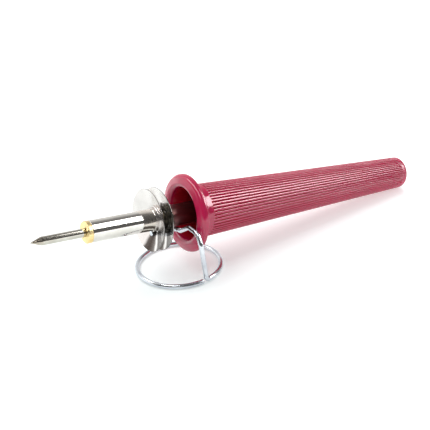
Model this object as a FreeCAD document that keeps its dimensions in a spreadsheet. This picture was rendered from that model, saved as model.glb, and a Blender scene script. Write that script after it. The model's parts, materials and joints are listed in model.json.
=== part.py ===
"""Wood burning pen: crimson fluted handle, steel barrel with heater, two heat shields, wire stand.

Lengths are millimetres. Most pieces are turned about the pen's own axis, and their outlines are drawn as
(station, radius): the station runs along the axis from the tip's point towards the cord end. The pen then
gets one placement, nose up, resting on the stand's ring and on the rear of its handle.

Frame: +Z up, the table at z = 0, the tip towards -X, the origin midway along the pen and under the
centre of the stand's ring.
"""
import FreeCAD, Part
import math
import os

import Sketcher
from FreeCAD import Placement, Rotation, Vector

os.makedirs("parts", exist_ok=True)
doc = FreeCAD.newDocument("wood_burning_pen")

SIZES = {
    # resting position
    "nose_up_angle": 7.9,
    "pen_side_offset": 1.4,
    # tip: rod with a ground point and a threaded shank
    "tip_radius": 2.15,
    "point_length": 5.6,
    "shank_radius": 1.95,
    "shank_length": 12.0,
    "shank_thread_pitch": 0.7,
    "thread_depth": 0.35,
    "thread_count": 15,
    # brass bushing in the barrel's nose
    "bushing_front": 27.5,
    "rim_thickness": 2.3,
    "rim_radius": 5.4,
    "rim_round": 0.6,
    "plug_length": 14.2,
    "socket_radius": 2.0,
    "socket_depth": 13.0,
    "slot_half_length": 3.2,
    "slot_width": 1.3,
    "slot_depth": 0.9,
    "slot_angle": 25.0,
    # barrel
    "barrel_radius": 5.5,
    "barrel_wall": 0.5,
    "barrel_end": 124.0,
    "press_gap": 0.02,
    "cut_overlap": 0.05,
    # heat shields
    "front_shield_station": 61.45,
    "rear_shield_station": 66.65,
    "shield_radius": 15.7,
    "shield_thickness": 0.5,
    "shield_dish": 3.9,
    "shield_collar_length": 2.2,
    "shield_collar_wall": 0.4,
    "shield_round": 0.2,
    # wire stand
    "wire_radius": 1.25,
    "pivot_drop": 7.4,
    "pivot_clearance": 0.08,
    "rivet_station": 64.05,
    "rivet_head_radius": 1.45,
    "rivet_head_thickness": 0.6,
    "crank_station": 78.4,
    "crank_low_side": 3.5,
    "crank_high_side": 11.2,
    "crank_high_drop": 2.3,
    "shoulder_side": 19.2,
    "leg_side": 22.9,
    "leg_top_drop": 7.2,
    "pivot_bend": 2.4,
    "crank_bend": 4.6,
    "shoulder_bend": 4.8,
    "leg_bend": 4.0,
    "foot_reach": 2.4,
    "foot_bend": 2.28,
    "ring_radius": 21.2,
    "ring_centre_station": 75.6,
    "ring_start_angle": -75.0,
    "ring_end_angle": 273.4,
    # handle, outside
    "lip_front": 80.35,
    "lip_radius": 15.55,
    "face_station": 81.0,
    "face_radius": 17.7,
    "flange_round": 2.65,
    "flange_station": 83.58,
    "flange_radius": 19.75,
    "flange_edge": 0.5,
    "flange_back_round": 0.6,
    "flange_undercut": 0.2,
    "cove_radius": 5.2,
    "step_station": 87.0,
    "step_radius": 15.3,
    "step_width": 0.7,
    "neck_radius": 13.85,
    "neck_taper": 0.1,
    "neck_chamfer": 0.2,
    "flute_start": 91.4,
    "grip_front_radius": 13.5,
    "grip_slope": 0.036,
    "flute_end": 221.6,
    "flute_count": 50,
    "flute_width_share": 0.72,
    "flute_depth_share": 0.21,
    "handle_end": 225.0,
    "handle_end_round": 2.0,
    # handle, inside
    "mouth_round": 2.5,
    "mouth_station": 82.85,
    "mouth_radius": 13.05,
    "funnel_radius": 30.0,
    "bore_start": 92.0,
    "bore_front_radius": 11.25,
    "seat_station": 112.0,
    "seat_radius": 10.65,
    "cavity_radius": 9.9,
    "cavity_rear_radius": 6.35,
    "boss_offset": 8.5,
    "boss_radius": 2.0,
    "boss_length": 13.0,
    "pilot_radius": 1.05,
    "pilot_depth": 11.0,
    "hub_gap": 0.1,
    # cord inlet
    "rear_wall_front": 221.5,
    "grommet_flange_radius": 5.9,
    "grommet_flange_thickness": 0.9,
    "grommet_neck_radius": 4.55,
    "grommet_chamfer": 0.3,
    "grommet_inner_chamfer": 0.6,
    "recess_gap": 0.1,
    "cord_hole_radius": 3.25,
    # hub that carries the barrel in the handle
    "hub_flange_thickness": 3.0,
    "hub_spigot_length": 6.0,
    "hub_spigot_radius": 6.4,
    "hub_screw_hole_radius": 1.2,
    "screw_radius": 1.0,
    "screw_length": 12.0,
    "screw_head_radius": 1.9,
    "screw_head_height": 1.5,
    "screw_recess": 0.8,
    "push_ring_radius": 6.45,
    "push_ring_thickness": 0.6,
    # heating element
    "mica_thickness": 0.4,
    "core_radius": 2.9,
    "core_bore": 1.2,
    "core_length": 60.0,
    "inner_sleeve_radius": 3.25,
    "winding_radius": 3.8,
    "winding_start": 48.0,
    "winding_pitch": 1.25,
    "winding_turns": 40,
    "outer_sleeve_radius": 4.9,
    "element_gap": 0.05,
    "bead_length": 6.6,
    "lead_radius": 0.27,
    "lead_offset": 3.53,
    "lead_end": 134.0,
    "sleeving_radius": 0.8,
    "sleeving_length": 17.5,
    "crimp_radius": 1.25,
    "crimp_length": 9.5,
    "crimp_bore": 0.85,
    "crimp_cord_share": 0.45,
    "lead_gap": 0.1,
}

sheet = doc.addObject("Spreadsheet::Sheet", "Sizes")
for row, (alias, size) in enumerate(SIZES.items(), start=1):
    sheet.set(f"A{row}", alias.replace("_", " "))
    sheet.set(f"B{row}", str(size))
    sheet.setAlias(f"B{row}", alias)
doc.recompute()


class Size:
    """A length that carries its value together with the spreadsheet formula that gives it."""

    def __init__(self, value, formula):
        self.value = value
        self.formula = formula

    def __add__(self, other):
        other = as_size(other)
        return Size(self.value + other.value, f"({self.formula} + {other.formula})")

    def __sub__(self, other):
        other = as_size(other)
        return Size(self.value - other.value, f"({self.formula} - {other.formula})")

    def __mul__(self, other):
        other = as_size(other)
        return Size(self.value * other.value, f"({self.formula} * {other.formula})")

    def __neg__(self):
        return Size(-self.value, f"(0 - {self.formula})")


def as_size(number):
    return number if isinstance(number, Size) else Size(float(number), f"{float(number):.6f}")


def size(alias):
    return Size(float(getattr(sheet, alias)), f"Sizes.{alias}")


def grip_radius(station):
    """Radius over the grip's ridges, which tapers evenly towards the cord end."""
    return size("grip_front_radius") - (station - size("flute_start")) * size("grip_slope")


# ---- the pen's resting pose -----------------------------------------------------------------------------

nose_up = math.radians(size("nose_up_angle").value)
round_station = (size("handle_end") - size("handle_end_round")).value
round_centre = (grip_radius(size("handle_end")) - size("handle_end_round")).value
round_radius = size("handle_end_round").value
rest_height = round_station * math.sin(nose_up) + round_centre * math.cos(nose_up) + round_radius
pen_reach = round_station * math.cos(nose_up) + round_centre * math.sin(nose_up) + round_radius
pen_pose = Placement(
    Vector(-pen_reach / 2, size("pen_side_offset").value, rest_height),
    Rotation(Vector(0, 1, 0), size("nose_up_angle").value),
)
pieces = []


def keep(piece, label, pose=pen_pose):
    piece.Label = label
    piece.Placement = pose
    pieces.append(piece)
    return piece


# ---- sketches and features ------------------------------------------------------------------------------

def new_sketch(body, name, role, station=None):
    """A sketch on one of the body's origin planes, moved along that plane's normal to a station."""
    sketch = body.newObject("Sketcher::SketchObject", name)
    plane = next(item for item in body.Origin.OriginFeatures if item.Role == role)
    sketch.AttachmentSupport = [(plane, "")]
    sketch.MapMode = "FlatFace"
    if station is not None:
        sketch.AttachmentOffset = Placement(Vector(0, 0, station.value), Rotation())
        sketch.setExpression(".AttachmentOffset.Base.z", station.formula)
    return sketch


def bind(sketch, kind, *arguments, length):
    index = sketch.addConstraint(Sketcher.Constraint(kind, *arguments, length.value))
    sketch.setExpression(f"Constraints[{index}]", length.formula)


def pin_point(sketch, geometry, end, x, y):
    """Fixes one point at (x, y) from the sketch's origin."""
    origin, x_axis, y_axis = (-1, 1), -1, -2
    if x.value == 0:
        sketch.addConstraint(Sketcher.Constraint("PointOnObject", geometry, end, y_axis))
    else:
        bind(sketch, "DistanceX", *origin, geometry, end, length=x)
    if y.value == 0:
        sketch.addConstraint(Sketcher.Constraint("PointOnObject", geometry, end, x_axis))
    else:
        bind(sketch, "DistanceY", *origin, geometry, end, length=y)


def arc_between(first, last, radius, turn):
    """The short arc from first to last, turning left for turn = 1 and right for turn = -1."""
    chord = last - first
    left = Vector(-chord.y, chord.x, 0).normalize()
    reach = math.sqrt(radius ** 2 - (chord.Length / 2) ** 2)
    centre = (first + last) * 0.5 + left * reach * turn
    ends = (first, last) if turn > 0 else (last, first)
    angles = [math.atan2(point.y - centre.y, point.x - centre.x) for point in ends]
    return Part.ArcOfCircle(Part.Circle(centre, Vector(0, 0, 1), radius), *angles)


def draw_outline(sketch, corners):
    """Draws a closed outline. A corner is (x, y), or (x, y, radius, turn) where an arc follows it."""
    start, finish = 1, 2
    ends = []
    for number, corner in enumerate(corners):
        following = corners[(number + 1) % len(corners)]
        first = Vector(as_size(corner[0]).value, as_size(corner[1]).value, 0)
        last = Vector(as_size(following[0]).value, as_size(following[1]).value, 0)
        if len(corner) == 2:
            sketch.addGeometry(Part.LineSegment(first, last))
            ends.append((start, finish))
            continue
        radius, turn = as_size(corner[2]), corner[3]
        index = sketch.addGeometry(arc_between(first, last, radius.value, turn))
        ends.append((start, finish) if turn > 0 else (finish, start))
        bind(sketch, "Radius", index, length=radius)
    for number, corner in enumerate(corners):
        following = (number + 1) % len(corners)
        joint = (number, ends[number][1], following, ends[following][0])
        sketch.addConstraint(Sketcher.Constraint("Coincident", *joint))
        pin_point(sketch, number, ends[number][0], as_size(corner[0]), as_size(corner[1]))


def draw_circles(sketch, centres, radius):
    for x, y in centres:
        x, y = as_size(x), as_size(y)
        circle = Part.Circle(Vector(x.value, y.value, 0), Vector(0, 0, 1), radius.value)
        index = sketch.addGeometry(circle)
        bind(sketch, "Radius", index, length=radius)
        pin_point(sketch, index, 3, x, y)


def turned_body(name, *outlines):
    """A body turned about the pen's axis from one or more closed (station, radius) outlines."""
    body = doc.addObject("PartDesign::Body", name)
    sketch = new_sketch(body, f"{name}_outline", "XZ_Plane")
    draw_outline(sketch, outlines[0])
    turning = body.newObject("PartDesign::Revolution", f"{name}_turning")
    turning.Profile = sketch
    turning.ReferenceAxis = (sketch, ["H_Axis"])
    turning.Angle = 360
    for number, outline in enumerate(outlines[1:], start=1):
        groove_sketch = new_sketch(body, f"{name}_groove_outline_{number}", "XZ_Plane")
        draw_outline(groove_sketch, outline)
        groove = body.newObject("PartDesign::Groove", f"{name}_groove_{number}")
        groove.Profile = groove_sketch
        groove.ReferenceAxis = (groove_sketch, ["H_Axis"])
        groove.Angle = 360
    return body


def tube_outline(start, end, inner, outer):
    return [(start, inner), (end, inner), (end, outer), (start, outer)]


def cut_holes(body, name, centres, radius, station, depth):
    """Round holes along the axis, cut from a station towards the cord end."""
    doc.recompute()
    before = body.Shape.Volume
    sketch = new_sketch(body, f"{name}_outline", "YZ_Plane", station)
    draw_circles(sketch, centres, radius)
    pocket = body.newObject("PartDesign::Pocket", name)
    pocket.Profile = sketch
    pocket.Length = depth.value
    pocket.setExpression("Length", depth.formula)
    pocket.Reversed = True
    doc.recompute()
    removed = before - body.Shape.Volume
    if removed <= 0:
        raise RuntimeError(f"{name} removed nothing")


def side_by_side(offset):
    """Two centres either side of the axis, one each way along Y."""
    return [(offset, 0), (-offset, 0)]


# ---- tip and bushing ------------------------------------------------------------------------------------

front = size("bushing_front")
tip_radius, shank_radius = size("tip_radius"), size("shank_radius")
shank_end = front + size("shank_length")
thread_root = shank_radius - size("thread_depth")

tip = turned_body("tip_body", [
    (0, 0),
    (size("point_length"), tip_radius),
    (front, tip_radius),
    (front, shank_radius),
    (shank_end - size("thread_depth"), shank_radius),
    (shank_end, thread_root),
    (shank_end, 0),
])
pitch = size("shank_thread_pitch")
thread_start = front + pitch
thread_sketch = new_sketch(tip, "thread_outline", "XZ_Plane")
cut_overlap = size("cut_overlap")
draw_outline(thread_sketch, [
    (thread_start, shank_radius + cut_overlap),
    (thread_start + pitch * 0.5, thread_root),
    (thread_start + pitch, shank_radius + cut_overlap),
])
thread = tip.newObject("PartDesign::Groove", "thread_groove")
thread.Profile = thread_sketch
thread.ReferenceAxis = (thread_sketch, ["H_Axis"])
thread.Angle = 360
doc.recompute()
threads = tip.newObject("PartDesign::LinearPattern", "thread_grooves")
threads.Originals = [thread]
threads.Direction = (thread_sketch, ["H_Axis"])
threads_reach = pitch * (size("thread_count") - 1)
threads.Length = threads_reach.value
threads.setExpression("Length", threads_reach.formula)
threads.Occurrences = int(size("thread_count").value)
tip.Tip = threads
keep(tip, "tip")

rim_end = front + size("rim_thickness")
rim_round = size("rim_round")
plug_radius = size("barrel_radius") - size("barrel_wall") - size("press_gap")
plug_end = rim_end + size("plug_length")
socket_end = front + size("socket_depth")
bushing = turned_body("bushing_body", [
    (front, size("socket_radius")),
    (front, size("rim_radius") - rim_round, rim_round, -1),
    (front + rim_round, size("rim_radius")),
    (rim_end, size("rim_radius")),
    (rim_end, plug_radius),
    (plug_end, plug_radius),
    (plug_end, 0),
    (socket_end, 0),
    (socket_end, size("socket_radius")),
])
slot_sketch = new_sketch(bushing, "slot_outline", "YZ_Plane", front)
slot_turn = Rotation(Vector(0, 0, 1), size("slot_angle").value)
slot_sketch.AttachmentOffset = Placement(Vector(0, 0, front.value), slot_turn)
slot_sketch.setExpression(".AttachmentOffset.Rotation.Angle", "Sizes.slot_angle * 1 deg")
slot_half_width = size("slot_width") * 0.5
draw_outline(slot_sketch, [
    (-slot_half_width, -size("slot_half_length")),
    (slot_half_width, -size("slot_half_length")),
    (slot_half_width, size("slot_half_length")),
    (-slot_half_width, size("slot_half_length")),
])
doc.recompute()
bushing_blank_volume = bushing.Shape.Volume
slot = bushing.newObject("PartDesign::Pocket", "driver_slot")
slot.Profile = slot_sketch
slot.Length = size("slot_depth").value
slot.setExpression("Length", size("slot_depth").formula)
slot.Reversed = True
doc.recompute()
if bushing.Shape.Volume >= bushing_blank_volume:
    raise RuntimeError("the driver slot removed nothing")
keep(bushing, "tip_bushing")

# ---- barrel and heat shields ----------------------------------------------------------------------------

barrel_radius = size("barrel_radius")
barrel_bore = barrel_radius - size("barrel_wall")
barrel_end = size("barrel_end")
barrel_edge = size("shield_round")
keep(turned_body("barrel_body", [
    (rim_end, barrel_bore),
    (barrel_end, barrel_bore),
    (barrel_end, barrel_radius),
    (rim_end + barrel_edge, barrel_radius, barrel_edge, 1),
    (rim_end, barrel_radius - barrel_edge),
]), "barrel_tube")


def heat_shield(label, station):
    """A thin dished disc, hollow towards the tip, drawn into a collar that grips the barrel."""
    thickness, dish = size("shield_thickness"), size("shield_dish")
    edge = size("shield_round")
    bore = barrel_radius + size("press_gap")
    collar = bore + size("shield_collar_wall")
    hub, rim_back = station + dish, station + thickness
    collar_front = hub - size("shield_collar_length")
    body = turned_body(f"{label}_body", [
        (collar_front, bore),
        (hub + thickness, bore),
        (rim_back, size("shield_radius") - edge, edge, 1),
        (rim_back - edge, size("shield_radius")),
        (station + edge, size("shield_radius"), edge, 1),
        (station, size("shield_radius") - edge),
        (hub, collar),
        (collar_front, collar),
    ])
    wire_hole = size("wire_radius") + size("pivot_clearance")
    cut_holes(body, f"{label}_wire_hole", [(0, -size("pivot_drop"))], wire_hole, rim_back, dish + thickness)
    keep(body, label)


heat_shield("front_heat_shield", size("front_shield_station"))
heat_shield("rear_heat_shield", size("rear_shield_station"))

# ---- wire stand -----------------------------------------------------------------------------------------

def pen_point(station, side, height):
    """A point given along, beside and above the pen's axis, in the frame of the resting pen."""
    return pen_pose.multVec(Vector(station, side, height))


def rounded_route(points, radii):
    """Straight runs joined by tangent arcs: one radius for each inner point."""
    edges = []
    start = points[0]
    for before, corner, after, radius in zip(points, points[1:], points[2:], radii):
        arriving = (corner - before).normalize()
        leaving = (after - corner).normalize()
        half_turn = arriving.getAngle(leaving) / 2
        reach = radius * math.tan(half_turn)
        arc_start = corner - arriving * reach
        arc_end = corner + leaving * reach
        inward = (leaving - arriving).normalize()
        middle = corner + inward * (radius / math.cos(half_turn) - radius)
        edges.append(Part.LineSegment(start, arc_start).toShape())
        edges.append(Part.Arc(arc_start, middle, arc_end).toShape())
        start = arc_end
    edges.append(Part.LineSegment(start, points[-1]).toShape())
    return edges


def make_stand():
    wire_radius = size("wire_radius").value
    drop = size("pivot_drop").value
    crank = size("crank_station").value
    side = size("leg_side").value
    ring_radius = size("ring_radius").value
    rivet = size("rivet_station").value
    ring_centre = Vector(size("ring_centre_station").value - pen_reach / 2, 0, wire_radius)
    start_angle = math.radians(size("ring_start_angle").value)
    outward = Vector(math.cos(start_angle), math.sin(start_angle), 0)
    along = Vector(-math.sin(start_angle), math.cos(start_angle), 0)
    ring_start = ring_centre + outward * ring_radius
    high_drop = size("crank_high_drop").value
    route = [
        pen_point(rivet, 0, -drop),
        pen_point(crank, 0, -drop),
        pen_point(crank, -size("crank_low_side").value, -drop),
        pen_point(crank, -size("crank_high_side").value, -high_drop),
        pen_point(crank, -size("shoulder_side").value, -high_drop),
        pen_point(crank, -side, -size("leg_top_drop").value),
        ring_start - along * size("foot_reach").value,
        ring_start,
    ]
    bends = ("pivot_bend", "crank_bend", "crank_bend", "shoulder_bend", "leg_bend", "foot_bend")
    edges = rounded_route(route, [size(bend).value for bend in bends])
    ring = Part.makeCircle(
        ring_radius, ring_centre, Vector(0, 0, 1),
        size("ring_start_angle").value, size("ring_end_angle").value,
    )
    path = Part.Wire(edges + [ring])
    pen_direction = (route[1] - route[0]).normalize()
    section = Part.Wire([Part.makeCircle(wire_radius, route[0], pen_direction)])
    rod = path.makePipeShell([section], True, False)
    expected = math.pi * wire_radius ** 2 * path.Length
    if abs(rod.Volume - expected) > 0.01 * expected:
        raise RuntimeError(f"the stand's wire has volume {rod.Volume:.1f}, not {expected:.1f}")
    head_thickness = size("rivet_head_thickness").value
    head = Part.makeCylinder(
        size("rivet_head_radius").value, head_thickness,
        route[0] - pen_direction * head_thickness, pen_direction,
    )
    front_rim = min(head.Edges, key=lambda edge: edge.BoundBox.XMin)
    head = head.makeFillet(head_thickness / 2, [front_rim])
    stand = doc.addObject("Part::Feature", "stand_shape")
    stand.Shape = rod.fuse(head).removeSplitter()
    keep(stand, "stand_wire", Placement())


make_stand()

# ---- handle ---------------------------------------------------------------------------------------------

handle_end, end_round = size("handle_end"), size("handle_end_round")
flange_station, flange_radius = size("flange_station"), size("flange_radius")
back_round = size("flange_back_round")
flange_back = flange_station + size("flange_edge")
cove_start = flange_back + back_round
step_station, step_end = size("step_station"), size("step_station") + size("step_width")
flute_start, seat = size("flute_start"), size("seat_station")
end_radius = grip_radius(handle_end)
recess_gap = size("recess_gap")
recess_station = handle_end - size("grommet_flange_thickness") - recess_gap
recess_radius = size("grommet_flange_radius") + recess_gap
neck_hole_radius = size("grommet_neck_radius") + recess_gap
rear_wall_front = size("rear_wall_front")
handle = turned_body("handle_body", [
    # flared lip and flange
    (size("mouth_station"), size("mouth_radius"), size("mouth_round"), -1),
    (size("lip_front"), size("lip_radius")),
    (size("face_station"), size("face_radius"), size("flange_round"), -1),
    (flange_station, flange_radius),
    (flange_back, flange_radius, back_round, -1),
    (cove_start, flange_radius - back_round),
    # cove, step and neck behind the flange
    (cove_start, flange_radius - back_round - size("flange_undercut"), size("cove_radius"), 1),
    (step_station, size("step_radius")),
    (step_end, size("step_radius")),
    (step_end, size("neck_radius")),
    (flute_start - size("neck_chamfer"), size("neck_radius") - size("neck_taper")),
    (flute_start, grip_radius(flute_start)),
    # tapered grip and rounded rear end
    (handle_end - end_round, end_radius, end_round, -1),
    (handle_end, end_radius - end_round),
    # cord inlet
    (handle_end, recess_radius),
    (recess_station, recess_radius),
    (recess_station, neck_hole_radius),
    (rear_wall_front, neck_hole_radius),
    (rear_wall_front, size("cavity_rear_radius")),
    # cavity, barrel seat, bore and funnel
    (seat, size("cavity_radius")),
    (seat, size("seat_radius")),
    (size("bore_start"), size("bore_front_radius"), size("funnel_radius"), -1),
])
boss_centres = side_by_side(size("boss_offset"))
boss_sketch = new_sketch(handle, "boss_outline", "YZ_Plane", seat)
draw_circles(boss_sketch, boss_centres, size("boss_radius"))
bosses = handle.newObject("PartDesign::Pad", "screw_bosses")
bosses.Profile = boss_sketch
bosses.Length = size("boss_length").value
bosses.setExpression("Length", size("boss_length").formula)
cut_holes(handle, "pilot_holes", boss_centres, size("pilot_radius"), seat, size("pilot_depth"))

# A flute is a slender cone cut along the grip. Its radius and its height above the surface keep the same
# share of the grip's radius all along, so the ridges between the flutes stay even.
flute_pitch_share = 2 * math.pi / size("flute_count").value
half_width_share = flute_pitch_share * size("flute_width_share").value / 2
depth_share = flute_pitch_share * size("flute_depth_share").value
tool_share = (half_width_share ** 2 + depth_share ** 2) / (2 * depth_share)
front_radius = grip_radius(flute_start).value
rear_radius = grip_radius(size("flute_end")).value
flute_length = size("flute_end").value - flute_start.value
lift_share = 1 + tool_share - depth_share
flute_tilt = math.degrees(math.atan2((front_radius - rear_radius) * lift_share, flute_length))
flute = handle.newObject("PartDesign::SubtractiveCone", "flute")
flute.Radius1 = front_radius * tool_share
flute.Radius2 = rear_radius * tool_share
flute.Height = flute_length / math.cos(math.radians(flute_tilt))
flute.Placement = Placement(
    Vector(flute_start.value, 0, front_radius * lift_share),
    Rotation(Vector(0, 1, 0), 90 + flute_tilt),
)
doc.recompute()
unfluted_volume = handle.Shape.Volume
flutes = handle.newObject("PartDesign::PolarPattern", "flutes")
flutes.Originals = [flute]
flutes.Axis = (boss_sketch, ["N_Axis"])
flutes.Angle = 360
flutes.Occurrences = int(size("flute_count").value)
handle.Tip = flutes
doc.recompute()
if handle.Shape.Volume >= unfluted_volume:
    raise RuntimeError("the flutes removed nothing")
keep(handle, "handle_shell")

flange_thickness = size("grommet_flange_thickness")
grommet_flange, grommet_chamfer = size("grommet_flange_radius"), size("grommet_chamfer")
grommet_face = handle_end - recess_gap
keep(turned_body("grommet_body", [
    (rear_wall_front - flange_thickness, size("cord_hole_radius")),
    (grommet_face, size("cord_hole_radius")),
    (grommet_face, grommet_flange - grommet_chamfer),
    (grommet_face - grommet_chamfer, grommet_flange),
    (recess_station, grommet_flange),
    (recess_station, size("grommet_neck_radius")),
    (rear_wall_front, size("grommet_neck_radius")),
    (rear_wall_front, grommet_flange),
    (rear_wall_front - flange_thickness, grommet_flange - size("grommet_inner_chamfer")),
]), "cord_grommet")

# ---- hub, rings and screws ------------------------------------------------------------------------------

hub_front = seat - size("hub_flange_thickness")
hub_rear = seat + size("hub_spigot_length")
hub_bore = barrel_radius + size("press_gap")
hub = turned_body("hub_body", [
    (hub_front, hub_bore),
    (hub_rear, hub_bore),
    (hub_rear, size("hub_spigot_radius")),
    (seat, size("hub_spigot_radius")),
    (seat, size("seat_radius") - size("hub_gap")),
    (hub_front, size("seat_radius") - size("hub_gap")),
])
cut_holes(hub, "hub_screw_holes", boss_centres, size("hub_screw_hole_radius"), hub_front,
          size("hub_flange_thickness"))
keep(hub, "barrel_hub")


def push_on_ring(name, start):
    outline = tube_outline(start, start + size("push_ring_thickness"), hub_bore, size("push_ring_radius"))
    keep(turned_body(f"{name}_body", outline), name)


push_on_ring("front_push_ring", hub_front - size("push_ring_thickness"))
push_on_ring("rear_push_ring", hub_rear)


def hub_screws():
    """Two pan-head screws with a cross recess, one group of separate solids."""
    radius, head_radius = size("screw_radius").value, size("screw_head_radius").value
    height, length = size("screw_head_height").value, size("screw_length").value
    recess, seat_face = size("screw_recess").value, hub_front.value
    along = Vector(1, 0, 0)
    screws = []
    for offset in (size("boss_offset").value, -size("boss_offset").value):
        centre = Vector(seat_face, offset, 0)
        head = Part.makeCylinder(head_radius, height, centre - along * height, along)
        crown = [edge for edge in head.Edges if edge.BoundBox.XMax < seat_face - height / 2 and edge.Closed]
        head = head.makeFillet(height * 0.4, crown)
        shank = Part.makeCylinder(radius, length - radius, centre, along)
        point = Part.makeCone(radius, 0, radius, centre + along * (length - radius), along)
        screw = head.fuse(shank).fuse(point).removeSplitter()
        arm = head_radius * 0.6
        for half_y, half_z in ((arm, recess / 4), (recess / 4, arm)):
            corner = centre + Vector(-height, -half_y, -half_z)
            screw = screw.cut(Part.makeBox(recess, 2 * half_y, 2 * half_z, corner))
        screws.append(screw)
    group = doc.addObject("Part::Feature", "screws_shape")
    group.Shape = Part.makeCompound(screws)
    keep(group, "hub_screws")


hub_screws()

# ---- heating element ------------------------------------------------------------------------------------

gap = size("element_gap")
washer_end = plug_end + size("mica_thickness")
core_start = washer_end + gap
core_end = core_start + size("core_length")
keep(turned_body("washer_body", [
    (plug_end, 0),
    (plug_end, size("outer_sleeve_radius")),
    (washer_end, size("outer_sleeve_radius")),
    (washer_end, 0),
]), "mica_washer")
keep(turned_body("core_body", tube_outline(core_start, core_end, size("core_bore"), size("core_radius"))),
     "heater_core")
keep(turned_body("inner_sleeve_body", tube_outline(
    core_start, core_end, size("core_radius") + gap, size("inner_sleeve_radius"))), "inner_mica_sleeve")
keep(turned_body("outer_sleeve_body", tube_outline(
    core_start, core_end, size("winding_radius") + gap, size("outer_sleeve_radius"))), "outer_mica_sleeve")

winding_pitch, winding_start = size("winding_pitch"), size("winding_start")
winding_end = winding_start + winding_pitch * size("winding_turns")
winding_root = size("winding_radius") - winding_pitch * 0.25
winding = turned_body("winding_body", tube_outline(
    winding_start, winding_end, size("inner_sleeve_radius") + gap, size("winding_radius")))
turn_sketch = new_sketch(winding, "turn_outline", "XZ_Plane")
draw_outline(turn_sketch, [
    (winding_start, size("winding_radius") + cut_overlap),
    (winding_start + winding_pitch * 0.25, winding_root),
    (winding_start + winding_pitch * 0.5, size("winding_radius") + cut_overlap),
])
turn = winding.newObject("PartDesign::Groove", "turn_groove")
turn.Profile = turn_sketch
turn.ReferenceAxis = (turn_sketch, ["H_Axis"])
turn.Angle = 360
doc.recompute()
turns = winding.newObject("PartDesign::LinearPattern", "turn_grooves")
turns.Originals = [turn]
turns.Direction = (turn_sketch, ["H_Axis"])
turns.Length = (winding_pitch * (size("winding_turns") - 1)).value
turns.setExpression("Length", (winding_pitch * (size("winding_turns") - 1)).formula)
turns.Occurrences = int(size("winding_turns").value)
winding.Tip = turns
keep(winding, "heater_winding")

bead_start = core_end + gap
bead_end = bead_start + size("bead_length")
lead_hole = size("lead_radius") + gap
lead_centres = side_by_side(size("lead_offset"))
bead = turned_body("bead_body", [
    (bead_start, 0),
    (bead_end, 0),
    (bead_end, size("outer_sleeve_radius")),
    (bead_start, size("outer_sleeve_radius")),
])
cut_holes(bead, "bead_lead_holes", lead_centres, lead_hole, bead_start, size("bead_length"))
keep(bead, "ceramic_rear_bead")


def straight_piece(label, start, end, offset, radius, bores=()):
    """A round bar along the axis, set off to one side, with (start, depth, radius) bores cut in it."""

    def cylinder(name, begin, length, cylinder_radius):
        bar = doc.addObject("Part::Cylinder", name)
        bar.Radius, bar.Height = cylinder_radius.value, length.value
        bar.setExpression("Radius", cylinder_radius.formula)
        bar.setExpression("Height", length.formula)
        bar.Placement = Placement(Vector(begin.value, offset.value, 0), Rotation(Vector(0, 1, 0), 90))
        return bar

    piece = cylinder(f"{label}_bar", start, end - start, radius)
    if not bores:
        return keep(piece, label, pen_pose.multiply(piece.Placement))
    for number, (bore_start, depth, bore_radius) in enumerate(bores):
        cut = doc.addObject("Part::Cut", f"{label}_cut_{number}")
        cut.Base = piece
        cut.Tool = cylinder(f"{label}_bore_{number}", bore_start, depth, bore_radius)
        piece = cut
    return keep(piece, label)


lead_start, lead_end = winding_end + gap, size("lead_end")
lead_gap = size("lead_gap")
sleeving_start = bead_end + lead_gap
sleeving_end = sleeving_start + size("sleeving_length")
crimp_start = sleeving_end + lead_gap
crimp_end = crimp_start + size("crimp_length")
cord_side = crimp_end - size("crimp_length") * size("crimp_cord_share").value
for side_name, offset in (("live", size("lead_offset")), ("neutral", -size("lead_offset"))):
    straight_piece(f"{side_name}_lead", lead_start, lead_end, offset, size("lead_radius"))
    sleeving_bore = (sleeving_start, size("sleeving_length"), lead_hole)
    straight_piece(f"{side_name}_lead_sleeving", sleeving_start, sleeving_end, offset,
                   size("sleeving_radius"), [sleeving_bore])
    lead_bore = (crimp_start, lead_end - crimp_start + lead_gap, lead_hole)
    cord_bore = (cord_side, crimp_end - cord_side, size("crimp_bore"))
    straight_piece(f"{side_name}_crimp", crimp_start, crimp_end, offset, size("crimp_radius"),
                   [lead_bore, cord_bore])

# ---- check and write ------------------------------------------------------------------------------------

doc.recompute()
for item in doc.Objects:
    if "Invalid" in item.State or "Error" in item.State:
        raise RuntimeError(f"{item.Name} failed: {item.State}")
for piece in pieces:
    if piece.Shape.isNull() or not piece.Shape.isValid():
        raise RuntimeError(f"{piece.Label} has no valid shape")
for piece in pieces:
    piece.Shape.exportStep(f"parts/{piece.Label}.step")
    print(f"{piece.Label}: {len(piece.Shape.Solids)} solid, {piece.Shape.Volume:.1f} mm3")
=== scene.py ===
"""Wood burning pen: the looks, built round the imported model.

Turned pieces are drawn in the pen's own frame, in millimetres: the station runs along the axis from the
tip's point towards the cord end, then across, then up. Materials measure that frame in metres.
"""
import json
import math

import bmesh
import bpy
from mathutils import Matrix, Vector


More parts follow.
